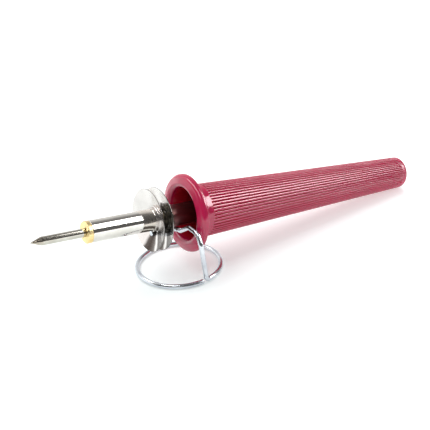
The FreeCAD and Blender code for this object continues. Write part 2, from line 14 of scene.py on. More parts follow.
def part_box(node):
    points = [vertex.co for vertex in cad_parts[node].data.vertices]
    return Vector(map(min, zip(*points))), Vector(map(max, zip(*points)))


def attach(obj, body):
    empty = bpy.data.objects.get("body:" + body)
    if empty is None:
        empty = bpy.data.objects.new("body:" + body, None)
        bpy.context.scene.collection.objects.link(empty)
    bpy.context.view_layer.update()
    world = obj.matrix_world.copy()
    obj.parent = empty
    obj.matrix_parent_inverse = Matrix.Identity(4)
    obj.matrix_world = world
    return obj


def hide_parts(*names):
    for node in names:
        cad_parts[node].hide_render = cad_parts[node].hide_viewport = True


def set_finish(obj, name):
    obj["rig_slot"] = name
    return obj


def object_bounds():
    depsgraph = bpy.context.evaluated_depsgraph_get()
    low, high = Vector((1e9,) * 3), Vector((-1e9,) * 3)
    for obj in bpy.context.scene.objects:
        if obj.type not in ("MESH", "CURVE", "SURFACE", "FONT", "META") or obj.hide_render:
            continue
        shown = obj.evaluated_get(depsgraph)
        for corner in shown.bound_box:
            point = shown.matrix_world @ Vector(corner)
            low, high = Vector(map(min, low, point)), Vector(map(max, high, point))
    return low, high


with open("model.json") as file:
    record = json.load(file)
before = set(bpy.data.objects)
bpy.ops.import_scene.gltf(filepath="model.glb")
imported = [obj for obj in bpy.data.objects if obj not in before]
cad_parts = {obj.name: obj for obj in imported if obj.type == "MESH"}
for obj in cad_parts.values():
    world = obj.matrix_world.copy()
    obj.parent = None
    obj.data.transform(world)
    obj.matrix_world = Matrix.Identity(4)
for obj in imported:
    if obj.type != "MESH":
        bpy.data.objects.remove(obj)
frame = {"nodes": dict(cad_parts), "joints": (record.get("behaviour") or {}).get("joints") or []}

cad_low, cad_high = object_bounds()
scene = bpy.context.scene
MM = 0.001

# ---- the pen's own frame --------------------------------------------------------------------------------

joints = {joint["name"]: joint for joint in frame["joints"]}
along = Vector(joints["stand_swing"]["axis"]).normalized()
across = Vector((0, 1, 0))
apex = min((vertex.co for vertex in frame["nodes"]["tip"].data.vertices), key=lambda place: place.x)
pen_pose = Matrix.Translation(apex) @ Matrix((along, across, along.cross(across))).transposed().to_4x4()

# ---- camera ---------------------------------------------------------------------------------------------

# Where the photograph was taken from, as its outlines give it. The place is in metres.
CAMERA_PLACE = Vector((-0.2460, -0.3822, 0.2604))
VIEW_AZIMUTH = math.radians(58.68)
VIEW_ELEVATION = math.radians(-28.05)
CAMERA_ROLL = math.radians(-3.12)
LENS = 83.72

view = Vector((
    math.cos(VIEW_ELEVATION) * math.cos(VIEW_AZIMUTH),
    math.cos(VIEW_ELEVATION) * math.sin(VIEW_AZIMUTH),
    math.sin(VIEW_ELEVATION),
))
level_right = Vector((math.sin(VIEW_AZIMUTH), -math.cos(VIEW_AZIMUTH), 0))
level_up = level_right.cross(view)
right = level_right * math.cos(CAMERA_ROLL) + level_up * math.sin(CAMERA_ROLL)
camera = bpy.data.objects.new("camera", bpy.data.cameras.new("camera"))
camera.data.lens = LENS
camera.matrix_world = (
    Matrix.Translation(CAMERA_PLACE) @ Matrix((right, right.cross(view), -view)).transposed().to_4x4()
)
scene.collection.objects.link(camera)
scene.camera = camera

# ---- mesh helpers ---------------------------------------------------------------------------------------

# Lengths in these helpers, and in the pieces below, are in millimetres.
ARC_STEP = math.radians(9)
FEWEST_ARC_SIDES = 3
LONGEST_ARC_SIDE = 0.9
SHORTEST_HELD_RUN = 1.0
HOLD_DISTANCE = 0.04
LEAST_BEND = math.radians(2)
SHARP_ANGLE = math.radians(40)
BEVEL_ANGLE = math.radians(50)


def arc_points(first, last, radius, turn):
    """Points after first and before last, on the short arc that turns left for 1 and right for -1."""
    chord = last - first
    left = Vector((-chord.y, chord.x)).normalized()
    centre = (first + last) / 2 + left * math.sqrt(radius ** 2 - chord.length ** 2 / 4) * turn
    sweep = 2 * math.asin(chord.length / 2 / radius) * turn
    steps = max(
        FEWEST_ARC_SIDES,
        math.ceil(abs(sweep) / ARC_STEP),
        math.ceil(abs(sweep) * radius / LONGEST_ARC_SIDE),
    )
    spoke = first - centre
    return [centre + Matrix.Rotation(sweep * k / steps, 2) @ spoke for k in range(1, steps)]


def fillet_points(before, corner, after, radius):
    """A rounded corner, as points on the arc that touches both of its sides."""
    to_before, to_after = (before - corner).normalized(), (after - corner).normalized()
    half = to_before.angle(to_after) / 2
    reach = radius / math.tan(half)
    first, last = corner + to_before * reach, corner + to_after * reach
    turn = 1 if (corner - before).x * (after - corner).y > (corner - before).y * (after - corner).x else -1
    return [first, *arc_points(first, last, radius, turn), last]


def point_near_bend(place, other, bend):
    """A point close to a bend on the run to another corner, or none where the run or the bend is small."""
    run = other - place
    if bend > LEAST_BEND and run.length > SHORTEST_HELD_RUN and max(place.y, other.y) > 0:
        return [place + run.normalized() * HOLD_DISTANCE]
    return []


def held_flat(points):
    """Adds points close to the bends, so that smooth shading leaves the long runs between them flat."""
    held = []
    for number, place in enumerate(points):
        before, following = points[number - 1], points[(number + 1) % len(points)]
        bend = (place - before).angle(following - place, 0)
        held += [*point_near_bend(place, before, bend), place, *point_near_bend(place, following, bend)]
    return held


def outline_points(corners):
    """A closed outline from (station, radius) corners.

    A third number rounds the corner by that radius. A third and fourth number are the radius and turn of an
    arc from this corner to the next.
    """
    places = [Vector(corner[:2]) for corner in corners]
    points = []
    for number, corner in enumerate(corners):
        following = places[(number + 1) % len(corners)]
        if len(corner) == 3:
            points += fillet_points(places[number - 1], places[number], following, corner[2])
            continue
        points.append(places[number])
        if len(corner) == 4:
            points += arc_points(places[number], following, corner[2], corner[3])
    return held_flat(points)


def add_turned(mesh, points, segments, centre=(0, 0), reshape=None):
    """Turns a closed outline about a line along the pen.

    reshape, where given, returns the radius to use for (station, radius, angle).
    """
    rings = []
    for station, radius in points:
        count = segments if radius > 0 else 1
        ring = []
        for k in range(count):
            angle = 2 * math.pi * k / count
            reach = reshape(station, radius, angle) if reshape else radius
            place = (station, centre[0] + reach * math.sin(angle), centre[1] + reach * math.cos(angle))
            ring.append(mesh.verts.new(Vector(place) * MM))
        rings.append(ring)
    for ring, following in zip(rings, rings[1:] + rings[:1]):
        if len(ring) == len(following) == 1:
            continue
        for k in range(segments):
            corners = [ring[k % len(ring)], following[k % len(following)],
                       following[(k + 1) % len(following)], ring[(k + 1) % len(ring)]]
            mesh.faces.new(list(dict.fromkeys(corners)))


def object_from(mesh, name):
    """Puts a finished bmesh in the scene as an object, and frees it."""
    data = bpy.data.meshes.new(name)
    mesh.to_mesh(data)
    mesh.free()
    made = bpy.data.objects.new(name, data)
    scene.collection.objects.link(made)
    return made


def finish_piece(mesh, name, body, slot, nodes, pose=pen_pose):
    """Makes a bmesh into a smooth-shaded piece that rides a body and replaces CAD nodes."""
    bmesh.ops.recalc_face_normals(mesh, faces=mesh.faces)
    piece = object_from(mesh, name)
    piece.data.transform(pose)
    piece.data.polygons.foreach_set("use_smooth", [True] * len(piece.data.polygons))
    piece.data.set_sharp_from_angle(angle=SHARP_ANGLE)
    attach(piece, body)
    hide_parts(*nodes)
    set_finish(piece, slot)
    return piece


def turned_piece(name, corners, segments, body, slot, node, reshape=None):
    mesh = bmesh.new()
    add_turned(mesh, outline_points(corners), segments, reshape=reshape)
    return finish_piece(mesh, name, body, slot, [node])


def cut_away(piece, mesh, name, bevel=None):
    """Cuts a shape, drawn in the pen's frame, out of a piece, then bevels its sharp edges if asked to."""
    cutter = object_from(mesh, name)
    cutter.matrix_world = pen_pose
    cut = piece.modifiers.new("cut", "BOOLEAN")
    cut.object = cutter
    cut.solver = "EXACT"
    if bevel:
        softened = piece.modifiers.new("softened", "BEVEL")
        softened.width = bevel
        softened.segments = 2
        softened.limit_method = "ANGLE"
        softened.angle_limit = BEVEL_ANGLE
    bpy.context.view_layer.update()
    shaped = bpy.data.meshes.new_from_object(piece.evaluated_get(bpy.context.evaluated_depsgraph_get()))
    piece.modifiers.clear()
    piece.data = shaped
    shaped.set_sharp_from_angle(angle=SHARP_ANGLE)
    bpy.data.objects.remove(cutter)


# ---- tip and bushing ------------------------------------------------------------------------------------

TIP_RADIUS = 2.15
BUSHING_FRONT = 27.5
SHANK_RADIUS = 1.95
SHANK_LENGTH = 12.0
THREAD_DEPTH = 0.3
THREAD_PITCH = 0.7
THREAD_RINGS_A_TURN = 8
THREAD_RUN_OUT = 0.7
SAME_RADIUS = 0.01


def thread_radius(station, radius, angle):
    """A screw thread that starts after a short plain neck and fades out before the shank's end."""
    from_neck = station - BUSHING_FRONT
    if from_neck <= 0 or radius < SHANK_RADIUS - SAME_RADIUS:
        return radius
    fade = min(1, from_neck / THREAD_RUN_OUT, (SHANK_LENGTH - from_neck) / THREAD_RUN_OUT)
    phase = (station / THREAD_PITCH - angle / (2 * math.pi)) % 1
    return radius - THREAD_DEPTH * fade * (1 - abs(2 * phase - 1))


thread_step = THREAD_PITCH / THREAD_RINGS_A_TURN
thread_rings = [
    (BUSHING_FRONT + thread_step * k, SHANK_RADIUS) for k in range(1, int(SHANK_LENGTH / thread_step))
]
tip = turned_piece("tip_rod", [
    (0, 0),
    (0.06, 0.06),
    (0.2, 0.115),
    (5.4, 2.06, 0.8),
    (6.1, TIP_RADIUS),
    (BUSHING_FRONT - 0.25, TIP_RADIUS),
    (BUSHING_FRONT, TIP_RADIUS - 0.2),
    *thread_rings,
    (BUSHING_FRONT + SHANK_LENGTH, SHANK_RADIUS - THREAD_DEPTH),
    (BUSHING_FRONT + SHANK_LENGTH, 0),
], 96, "tip", "plated_steel_tip", "tip", thread_radius)

RIM_END, RIM_RADIUS = 29.8, 5.4
PLUG_END, PLUG_RADIUS = 44.0, 4.98
SOCKET_END, SOCKET_RADIUS = 40.5, 2.0
SOCKET_CHAMFER = 0.15
bushing = turned_piece("brass_bushing", [
    (BUSHING_FRONT, SOCKET_RADIUS + 0.12),
    (BUSHING_FRONT, RIM_RADIUS, 0.6),
    (RIM_END, RIM_RADIUS, 0.12),
    (RIM_END, PLUG_RADIUS),
    (PLUG_END, PLUG_RADIUS, 0.2),
    (PLUG_END, 0),
    (SOCKET_END, 0),
    (SOCKET_END, SOCKET_RADIUS),
    (BUSHING_FRONT + SOCKET_CHAMFER, SOCKET_RADIUS),
], 192, "pen", "brass", "tip_bushing")

SLOT_ANGLE = math.radians(25)
SLOT_HALF_LENGTH, SLOT_HALF_WIDTH, SLOT_DEPTH = 3.2, 0.65, 0.9
SLOT_CORNER, SLOT_EDGE = 0.2, 0.07
mesh = bmesh.new()
bmesh.ops.create_cube(mesh, size=2 * MM)
slot_size = Matrix.Diagonal((SLOT_DEPTH, SLOT_HALF_WIDTH, SLOT_HALF_LENGTH, 1))
slot_place = Matrix.Translation(Vector((BUSHING_FRONT * MM, 0, 0))) @ Matrix.Rotation(SLOT_ANGLE, 4, "X")
bmesh.ops.transform(mesh, matrix=slot_place @ slot_size, verts=mesh.verts)
deep_edges = [edge for edge in mesh.edges if abs(edge.verts[0].co.x - edge.verts[1].co.x) > SLOT_DEPTH * MM]
bmesh.ops.bevel(mesh, geom=deep_edges, offset=SLOT_CORNER * MM, segments=4, affect="EDGES")
cut_away(bushing, mesh, "slot_cutter", bevel=SLOT_EDGE * MM)

# ---- barrel and heat shields ----------------------------------------------------------------------------

BARREL_RADIUS = 5.5
BARREL_BORE = 5.0
BARREL_END = 124.0
barrel = turned_piece("nickel_barrel", [
    (RIM_END, BARREL_BORE),
    (BARREL_END, BARREL_BORE),
    (BARREL_END, BARREL_RADIUS, 0.15),
    (RIM_END, BARREL_RADIUS, 0.22),
], 256, "pen", "nickel_barrel", "barrel_tube")

SHIELD_RADIUS = 15.7
SHIELD_THICKNESS = 0.5
SHIELD_DISH = 3.9
SHIELD_ROUND = 0.2
COLLAR_LENGTH = 2.2
COLLAR_RADIUS = 5.92
COLLAR_BEND = 0.45
COLLAR_GAP = 0.02
PIVOT_DROP = 7.4
PIVOT_HOLE_RADIUS = 1.33
PIVOT_HOLE_REACH = 4.4
SHIELD_STATIONS = {"front_heat_shield": 61.45, "rear_heat_shield": 66.65}

shields = []
for label, station in SHIELD_STATIONS.items():
    hub = station + SHIELD_DISH
    back = station + SHIELD_THICKNESS
    shield = turned_piece(f"{label}_disc", [
        (hub - COLLAR_LENGTH, BARREL_RADIUS + COLLAR_GAP),
        (hub + SHIELD_THICKNESS, BARREL_RADIUS + COLLAR_GAP, COLLAR_BEND),
        (back, SHIELD_RADIUS - SHIELD_ROUND, 0.2),
        (back - SHIELD_ROUND, SHIELD_RADIUS, 0.1),
        (station + SHIELD_ROUND, SHIELD_RADIUS, 0.1),
        (station, SHIELD_RADIUS - SHIELD_ROUND, 0.1),
        (hub, COLLAR_RADIUS, COLLAR_BEND),
        (hub - COLLAR_LENGTH, COLLAR_RADIUS, 0.12),
    ], 256, "pen", "shield_steel", label)
    mesh = bmesh.new()
    add_turned(mesh, outline_points([
        (back, 0),
        (back, PIVOT_HOLE_RADIUS),
        (back + PIVOT_HOLE_REACH, PIVOT_HOLE_RADIUS),
        (back + PIVOT_HOLE_REACH, 0),
    ]), 48, centre=(0, -PIVOT_DROP))
    bmesh.ops.recalc_face_normals(mesh, faces=mesh.faces)
    cut_away(shield, mesh, "drill")
    shields.append(shield)

# ---- wire stand -----------------------------------------------------------------------------------------

WIRE_RADIUS = 1.249
WIRE_SIDES = 32
FEWEST_BEND_STEPS = 6
# The crank's corners, as (side, height) at one station, and the radius of the bend at each.
CRANK_STATION = 78.4
CRANK_CORNERS = [(0, -PIVOT_DROP), (-3.5, -PIVOT_DROP), (-11.2, -2.3), (-19.2, -2.3), (-22.9, -7.2)]
CRANK_BENDS = [2.4, 4.6, 4.6, 4.8, 4.0]
RING_RADIUS = 21.2
RING_START, RING_END = math.radians(-75), math.radians(273.4)
RING_STEPS = 240
# The foot's bend into the ring is a little tighter than the room it has.
FOOT_RADIUS = 2.4
FOOT_EASE = 0.95
END_CHAMFER = 0.2
PIVOT_START = 64.05
# The riveted head in front of the pivot stretch: its distance along the pen from there, and its radius.
HEAD_OUTLINE = [
    (-0.6, 0.5), (-0.58, 0.85), (-0.48, 1.2), (-0.3, 1.4), (-0.12, 1.45), (-0.02, 1.45), (0, 1.25),
]


def pen_point(station, side, height):
    return pen_pose @ (Vector((station, side, height)) * MM)


def rounded_route(points, radii):
    """A route through the points with each inner corner bent to a radius."""
    route = [points[0]]
    for before, corner, after, radius in zip(points, points[1:], points[2:], radii):
        arriving, leaving = (corner - before).normalized(), (after - corner).normalized()
        turn = arriving.angle(leaving)
        start = corner - arriving * radius * MM * math.tan(turn / 2)
        inward = (leaving - arriving * arriving.dot(leaving)).normalized()
        centre = start + inward * radius * MM
        steps = max(FEWEST_BEND_STEPS, math.ceil(turn / ARC_STEP) * 2)
        for k in range(steps + 1):
            angle = turn * k / steps
            route.append(
                centre
                - inward * radius * MM * math.cos(angle)
                + arriving * radius * MM * math.sin(angle)
            )
    return route


def swept_tube(mesh, route, radii):
    """A round tube along a route, its rings carried along without twist and closed at both ends."""
    tangents = [(end - start).normalized() for start, end in zip(route, route[1:])]
    halfway = [(one + other).normalized() for one, other in zip(tangents, tangents[1:])]
    facing = [tangents[0], *halfway, tangents[-1]]
    normal = facing[0].orthogonal().normalized()
    rings = []
    for place, tangent, radius in zip(route, facing, radii):
        normal = (normal - tangent * normal.dot(tangent)).normalized()
        binormal = tangent.cross(normal)
        rings.append([
            mesh.verts.new(place + (normal * math.cos(angle) + binormal * math.sin(angle)) * radius * MM)
            for angle in (2 * math.pi * k / WIRE_SIDES for k in range(WIRE_SIDES))
        ])
    for ring, following in zip(rings, rings[1:]):
        for k in range(WIRE_SIDES):
            n = (k + 1) % WIRE_SIDES
            mesh.faces.new((ring[k], ring[n], following[n], following[k]))
    mesh.faces.new(rings[0])
    mesh.faces.new(rings[-1])


stand_low, stand_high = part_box("stand_wire")
ring_centre = Vector((0, 0, stand_low.z + WIRE_RADIUS * MM))
ring_centre.x = stand_high.x - (RING_RADIUS + WIRE_RADIUS) * MM


def ring_point(angle):
    return ring_centre + Vector((math.cos(angle), math.sin(angle), 0)) * RING_RADIUS * MM


foot_along = Vector((-math.sin(RING_START), math.cos(RING_START), 0))
leg = rounded_route([
    pen_point(PIVOT_START, 0, -PIVOT_DROP),
    *[pen_point(CRANK_STATION, side, height) for side, height in CRANK_CORNERS],
    ring_point(RING_START) - foot_along * FOOT_RADIUS * MM,
    ring_point(RING_START),
], [*CRANK_BENDS, FOOT_RADIUS * FOOT_EASE])
ring = [ring_point(RING_START + (RING_END - RING_START) * k / RING_STEPS) for k in range(RING_STEPS + 1)]
head = [leg[0] + along * distance * MM for distance, radius in HEAD_OUTLINE]
end_along = (ring[-1] - ring[-2]).normalized()
route = head + leg[1:] + ring[:-1] + [ring[-1] - end_along * END_CHAMFER * MM, ring[-1]]
radii = [radius for distance, radius in HEAD_OUTLINE]
radii += [WIRE_RADIUS] * (len(route) - len(radii) - 1) + [WIRE_RADIUS - END_CHAMFER]
mesh = bmesh.new()
swept_tube(mesh, route, radii)
stand = finish_piece(mesh, "stand_wire_bent", "stand", "zinc_wire", ["stand_wire"], Matrix.Identity(4))

# ---- handle ---------------------------------------------------------------------------------------------

FLUTE_COUNT = 50
SAMPLES_A_FLUTE = 16
FLUTE_START, FLUTE_END = 91.4, 221.6
RIDGE_HALF_WIDTH = 0.31
RIDGE_EDGE_SLOPE = math.radians(21)
GROOVE_DEPTH = 0.19
FLUTE_RUN_OUT = 0.6
SHELL_MARGIN = 0.5
GRIP_FRONT_RADIUS = 13.5
GRIP_SLOPE = 0.03655
HANDLE_END = 225.0
END_ROUND = 2.0
END_ROUND_START = HANDLE_END - END_ROUND
SEAT = 112.0
RECESS_FLOOR, RECESS_RADIUS = 224.0, 6.0
WALL_START, WALL_HOLE_RADIUS = 221.5, 4.65


def grip_radius(station):
    return GRIP_FRONT_RADIUS - (station - FLUTE_START) * GRIP_SLOPE


def fluted_radius(station, radius, angle):
    """Sinks flutes into the grip, with a rounded ridge between each two.

    Widths and depths are shares of the pitch, and the flutes run out softly at both ends.
    """
    if not FLUTE_START < station < FLUTE_END or radius < grip_radius(station) - SHELL_MARGIN:
        return radius
    from_groove = abs((angle * FLUTE_COUNT / (2 * math.pi) + 0.5) % 1 - 0.5)
    from_ridge = 0.5 - from_groove
    crown_radius = RIDGE_HALF_WIDTH / math.sin(RIDGE_EDGE_SLOPE)
    on_ridge = min(from_ridge, RIDGE_HALF_WIDTH)
    depth = crown_radius - math.sqrt(crown_radius ** 2 - on_ridge ** 2)
    if from_ridge > RIDGE_HALF_WIDTH:
        depth += GROOVE_DEPTH * (1 - (from_groove / (0.5 - RIDGE_HALF_WIDTH)) ** 2)
    from_end = min(1, (station - FLUTE_START) / FLUTE_RUN_OUT, (FLUTE_END - station) / FLUTE_RUN_OUT)
    return radius - 2 * math.pi * radius / FLUTE_COUNT * depth * math.sqrt(1 - (1 - from_end) ** 2)


# The grip's rings: close together where the flutes run out, and far apart along their straight run.
END_STEPS = [0.02, 0.08, 0.16, 0.26, 0.38, 0.5, 0.64, 0.8]
END_ZONE = 1
LONG_STEPS = 8
long_run = FLUTE_END - FLUTE_START - 2 * END_ZONE
grip_stations = [FLUTE_START + step for step in END_STEPS]
grip_stations += [FLUTE_START + END_ZONE + long_run * k / LONG_STEPS for k in range(LONG_STEPS + 1)]
grip_stations += [FLUTE_END - step for step in reversed(END_STEPS)]
handle_outline = outline_points([
    # the mouth's lip
    (82.85, 13.05, 2.5, -1),
    (80.35, 15.55),
    # the flange's face, rim and the cove behind it
    (81.0, 17.7, 2.65, -1),
    (83.58, 19.75),
    (84.08, 19.75, 0.6, -1),
    (84.68, 19.15),
    (84.68, 18.95, 5.2, 1),
    # the step and neck before the grip
    (87.0, 15.3, 0.15),
    (87.7, 15.3, 0.25),
    (87.7, 13.85, 0.3),
    (91.2, 13.75, 0.1),
    # the grip
    (FLUTE_START, GRIP_FRONT_RADIUS),
    *[(station, grip_radius(station)) for station in grip_stations],
    # the rear end, with the grommet's recess and hole
    (END_ROUND_START, grip_radius(END_ROUND_START), END_ROUND, -1),
    (HANDLE_END, grip_radius(END_ROUND_START) - END_ROUND),
    (HANDLE_END, RECESS_RADIUS, 0.15),
    (RECESS_FLOOR, RECESS_RADIUS),
    (RECESS_FLOOR, WALL_HOLE_RADIUS),
    (WALL_START, WALL_HOLE_RADIUS),
    # the bore, the hub's seat and the funnel out to the mouth
    (WALL_START, 6.35, 1.0),
    (SEAT, 9.9, 0.4),
    (SEAT, 10.65),
    (92.0, 11.25, 30.0, -1),
])
mesh = bmesh.new()
add_turned(mesh, handle_outline, FLUTE_COUNT * SAMPLES_A_FLUTE, reshape=fluted_radius)
BOSS_OFFSET, BOSS_RADIUS, BOSS_END = 8.5, 2.0, 125.0
PILOT_RADIUS, PILOT_END = 1.05, 123.0
for side in (BOSS_OFFSET, -BOSS_OFFSET):
    add_turned(mesh, outline_points([
        (SEAT, PILOT_RADIUS),
        (SEAT, BOSS_RADIUS),
        (BOSS_END, BOSS_RADIUS, 0.3),
        (BOSS_END, 0),
        (PILOT_END, 0),
        (PILOT_END, PILOT_RADIUS),
    ]), 32, centre=(side, 0))
handle = finish_piece(mesh, "fluted_handle", "pen", "crimson_plastic", ["handle_shell"])

GROMMET_START, GROMMET_END = 220.6, 224.9
GROMMET_RADIUS, GROMMET_NECK, GROMMET_BORE = 5.9, 4.55, 3.25
grommet = turned_piece("rubber_grommet", [
    (GROMMET_START, GROMMET_BORE, 0.2),
    (GROMMET_END, GROMMET_BORE, 0.3),
    (GROMMET_END, GROMMET_RADIUS, 0.35),
    (RECESS_FLOOR, GROMMET_RADIUS),
    (RECESS_FLOOR, GROMMET_NECK),
    (WALL_START, GROMMET_NECK),
    (WALL_START, GROMMET_RADIUS, 0.2),
    (GROMMET_START, 5.5, 0.4),
], 96, "pen", "black_rubber", "cord_grommet")

# ---- materials ------------------------------------------------------------------------------------------


def node(tree, kind, inputs=None, **settings):
    """Adds a shader node. An input is a value, or another node's output socket to link."""
    made = tree.nodes.new(kind)
    for name, value in settings.items():
        setattr(made, name, value)
    for name, value in (inputs or {}).items():
        if isinstance(value, bpy.types.NodeSocket):
            tree.links.new(value, made.inputs[name])
        else:
            made.inputs[name].default_value = value
    return made


def new_material(name, **sockets):
    """A Principled material. Returns it with its tree, its shader and the place in the pen's own frame."""
    material = bpy.data.materials.new(name)
    material.use_nodes = True
    tree = material.node_tree
    shader = tree.nodes["Principled BSDF"]
    for socket, value in sockets.items():
        shader.inputs[socket.replace("_", " ")].default_value = value
    at_rest = node(tree, "ShaderNodeTexCoord").outputs["Object"]
    sockets = {"Vector": at_rest, "Location": pen_pose.to_translation(), "Rotation": pen_pose.to_euler()}
    place = node(tree, "ShaderNodeMapping", sockets, vector_type="TEXTURE").outputs["Vector"]
    return material, tree, shader, place


def noise(tree, place, scale, detail=4.0, stretch=(1, 1, 1), roughness=0.55):
    stretched = node(tree, "ShaderNodeMapping", {"Vector": place, "Scale": stretch}).outputs["Vector"]
    sockets = {"Vector": stretched, "Scale": scale, "Detail": detail, "Roughness": roughness}
    return node(tree, "ShaderNodeTexNoise", sockets).outputs["Fac"]


def spread(tree, value, low, high, start=0.35, stop=0.65):
    """Maps a texture's value to a range, clamped at its ends."""
    sockets = {"Value": value, "From Min": start, "From Max": stop, "To Min": low, "To Max": high}
    return node(tree, "ShaderNodeMapRange", sockets).outputs["Result"]


def mix_colour(tree, share, first, second, blend="MIX"):
    mixed = node(tree, "ShaderNodeMix", data_type="RGBA", blend_type=blend)
    for name, value in (("Factor", share), ("A", first), ("B", second)):
        kind = "VALUE" if name == "Factor" else "RGBA"
        socket = next(s for s in mixed.inputs if s.name == name and s.type == kind)
        if isinstance(value, bpy.types.NodeSocket):
            tree.links.new(value, socket)
        else:
            socket.default_value = value if kind == "VALUE" else (*value, 1)
    return next(s for s in mixed.outputs if s.type == "RGBA")


def arithmetic(tree, operation, *values):
    made = node(tree, "ShaderNodeMath", operation=operation)
    for socket, value in zip(made.inputs, values):
        if isinstance(value, bpy.types.NodeSocket):
            tree.links.new(value, socket)
        else:
            socket.default_value = value
    return made.outputs[0]


def bump(tree, shader, height, distance, strength=1.0):
    sockets = {"Height": height, "Distance": distance, "Strength": strength}
    made = node(tree, "ShaderNodeBump", sockets)
    tree.links.new(made.outputs["Normal"], shader.inputs["Normal"])


def parts_of(tree, place):
    """The three coordinates of a place: in the pen's frame, along it, across it and up from its axis."""
    split = node(tree, "ShaderNodeSeparateXYZ", {"Vector": place})
    return split.outputs["X"], split.outputs["Y"], split.outputs["Z"]


def from_axis(tree, place):
    """The distance of a place from the pen's axis."""
    station, side, height = parts_of(tree, place)
    squares = [arithmetic(tree, "MULTIPLY", part, part) for part in (side, height)]
    return arithmetic(tree, "SQRT", arithmetic(tree, "ADD", *squares))


def ring_marks(tree, radius, scale):
    """Noise in fine rings round the axis, as a lathe leaves it."""
    sockets = {"W": radius, "Scale": scale, "Detail": 2.0}
    return node(tree, "ShaderNodeTexNoise", sockets, noise_dimensions="1D").outputs["Fac"]


CRIMSONS = (0.43, 0.005, 0.056), (0.48, 0.007, 0.068)
SPECK_CRIMSON = (0.38, 0.004, 0.044)
# How far below the grip's surface, in metres, the grooves and then the mouth begin and are in full.
GROOVE_DEPTHS = (0.00010, 0.00019)
MOUTH_DEPTHS = (0.0006, 0.0011)
# Painted shade: the grooves' colour, and the colour inside the mouth, are darker where less light reaches.
GROOVE_SHADE_CRIMSON = (0.29, 0.001, 0.012)
MOUTH_SHADE_CRIMSON = (0.34, 0.003, 0.012)
GROOVE_DULLING = 0.3


def crimson_plastic():
    """Glossy moulded plastic, with painted shade that deepens its colour in its grooves and inside the
    mouth.
    """
    material, tree, shader, place = new_material(
        "crimson_plastic", IOR=1.58, Subsurface_Weight=0.12, Subsurface_Scale=0.002,
        Subsurface_Radius=(1.0, 0.05, 0.12),
    )
    flow = noise(tree, place, 60, stretch=(0.25, 1, 1))
    specks = noise(tree, place, 2600, detail=2)
    tint = mix_colour(tree, spread(tree, flow, 0, 1), *CRIMSONS)
    tint = mix_colour(tree, spread(tree, specks, 0, 0.25, 0.55, 0.75), tint, SPECK_CRIMSON)
    station = parts_of(tree, place)[0]
    past_start = arithmetic(tree, "SUBTRACT", station, FLUTE_START * MM)
    taper = arithmetic(tree, "MULTIPLY", past_start, GRIP_SLOPE)
    grip = arithmetic(tree, "SUBTRACT", GRIP_FRONT_RADIUS * MM, taper)
    depth = arithmetic(tree, "SUBTRACT", grip, from_axis(tree, place))
    on_grip = spread(tree, station, 0, 1, FLUTE_START * MM, (FLUTE_START + FLUTE_RUN_OUT) * MM)
    sunk = arithmetic(tree, "MULTIPLY", on_grip, spread(tree, depth, 0, 1, *GROOVE_DEPTHS))
    # Painted shade in the grooves.
    tint = mix_colour(tree, sunk, tint, GROOVE_SHADE_CRIMSON)
    before_seat = spread(tree, station, 1, 0, SEAT * MM, (SEAT + 1) * MM)
    # Painted shade inside the mouth.
    painted_in_mouth = arithmetic(tree, "MULTIPLY", spread(tree, depth, 0, 1, *MOUTH_DEPTHS), before_seat)
    tint = mix_colour(tree, painted_in_mouth, tint, MOUTH_SHADE_CRIMSON)
    tree.links.new(tint, shader.inputs["Base Color"])
    tree.links.new(spread(tree, sunk, 0.6, 0.0, 0, 1), shader.inputs["Specular IOR Level"])
    handled = spread(tree, noise(tree, place, 180, detail=5), 0.12, 0.20)
    dulled = arithmetic(tree, "MULTIPLY", sunk, GROOVE_DULLING)
    tree.links.new(arithmetic(tree, "ADD", handled, dulled), shader.inputs["Roughness"])
    bump(tree, shader, noise(tree, place, 500, detail=2), 0.000002)
    return material


# Stretches of a metal's noise: drawn out into lines round the axis, or the same in every direction.
ROUND = (6, 0.3, 0.3)
EVEN = (1, 1, 1)


def polished_metal(name, bright, dull, roughness, lines, line_depth, scratch_scale=900, **sockets):
    """Metal with fine marks: lines is the stretch that draws the noise out into them.

    Without a line depth the marks show in the roughness alone.
    """
    material, tree, shader, place = new_material(name, Metallic=1.0, **sockets)
    cloud = noise(tree, place, 140, detail=5)
    tree.links.new(mix_colour(tree, spread(tree, cloud, 0, 1), bright, dull), shader.inputs["Base Color"])
    marks = noise(tree, place, scratch_scale, detail=3, stretch=lines)
    tree.links.new(spread(tree, marks, *roughness), shader.inputs["Roughness"])
    if line_depth:
        bump(tree, shader, marks, line_depth)
    return material, tree, shader, place


# Painted shade: these dark, mottled colours stand in for the shade between and round the shields.
SHADE_MOTTLES = (0.012, 0.011, 0.008), (0.10, 0.09, 0.06)
SHADE_ROUGHNESS = 0.28


def painted_shade_mottle(tree, place):
    """Painted shade: a blackened mottle for the metal where shade falls between and round the shields."""
    return mix_colour(tree, spread(tree, noise(tree, place, 700), 0, 1), *SHADE_MOTTLES)


def lay_over(tree, shader, share, colour, added_roughness):
    """Covers a share of a material's own colour with another, and roughens it there."""
    clean = shader.inputs["Base Color"].links[0].from_socket
    tree.links.new(mix_colour(tree, share, clean, colour), shader.inputs["Base Color"])
    smooth = shader.inputs["Roughness"].links[0].from_socket
    rough = arithmetic(tree, "MULTIPLY", share, added_roughness)
    tree.links.new(arithmetic(tree, "ADD", smooth, rough), shader.inputs["Roughness"])


# Where each mark begins and is in full: stations, heights and radii in metres.
BARREL_PAINTED_SHADE = (0.0655, 0.0668)
# Painted reflection: the barrel is tinted red where it would reflect the handle's mouth.
BARREL_PAINTED_REFLECTION = (0.0715, 0.0745)
REFLECTED_CRIMSON = (0.16, 0.06, 0.06)


